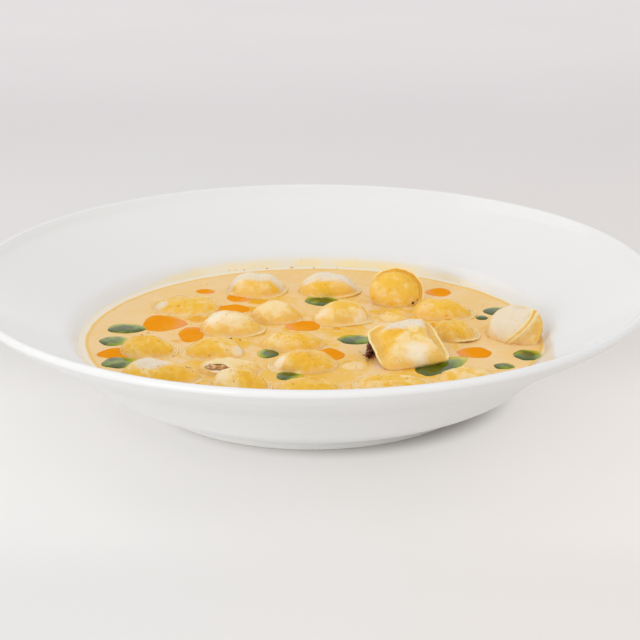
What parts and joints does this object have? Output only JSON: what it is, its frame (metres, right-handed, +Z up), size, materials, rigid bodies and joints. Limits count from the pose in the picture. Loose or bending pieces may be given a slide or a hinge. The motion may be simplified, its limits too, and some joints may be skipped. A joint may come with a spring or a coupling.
{
  "type": "manti dumplings in creamy soup",
  "caption": "Small round filled dumplings floating in creamy yellow soup with drops of herb oil and chili oil, in a wide-rimmed white porcelain soup plate.",
  "frame": {"origin": "middle of the foot ring's underside, on the table", "axes": "+Z up; -Y towards the diner and the picture's camera; +X to the diner's right"},
  "size_m": [0.2998, 0.2998, 0.0543],
  "materials": {
    "porcelain": "gloss white glaze",
    "cream_soup": "smooth creamy soup, wet",
    "dough": "boiled dough, wet, with yellow oil",
    "minced_filling": "cooked minced filling",
    "herb_oil": "green herb oil, wet",
    "chili_oil": "orange chili oil, wet"
  },
  "bodies": {
    "root": {"bowl": "porcelain", "broth": "cream_soup", "dumpling_01": "dough", "dumpling_02": "dough", "dumpling_03": "dough", "dumpling_04": "dough", "dumpling_05": "dough", "dumpling_06": "dough", "dumpling_07": "dough", "dumpling_08": "dough", "dumpling_09": "dough", "dumpling_10": "dough", "dumpling_11": "dough", "dumpling_12": "dough", "dumpling_13": "dough", "dumpling_14": "dough", "dumpling_15": "dough", "dumpling_16": "dough", "dumpling_17": "dough", "dumpling_18": "dough", "dumpling_19": "dough", "dumpling_20": "dough", "dumpling_21": "dough", "dumpling_22": "dough", "dumpling_23": "dough", "filling_open_dumpling": "minced_filling", "filling_torn_dumpling": "minced_filling", "herb_oil_01": "herb_oil", "herb_oil_02": "herb_oil", "herb_oil_03": "herb_oil", "herb_oil_04": "herb_oil", "herb_oil_05": "herb_oil", "herb_oil_06": "herb_oil", "herb_oil_07": "herb_oil", "herb_oil_08": "herb_oil", "herb_oil_09": "herb_oil", "herb_oil_10": "herb_oil", "herb_oil_11": "herb_oil", "herb_oil_12": "herb_oil", "chili_oil_01": "chili_oil", "chili_oil_02": "chili_oil", "chili_oil_03": "chili_oil", "chili_oil_04": "chili_oil", "chili_oil_05": "chili_oil", "chili_oil_06": "chili_oil", "chili_oil_07": "chili_oil", "chili_oil_08": "chili_oil", "chili_oil_09": "chili_oil", "chili_oil_10": "chili_oil"}
  },
  "joints": []
}
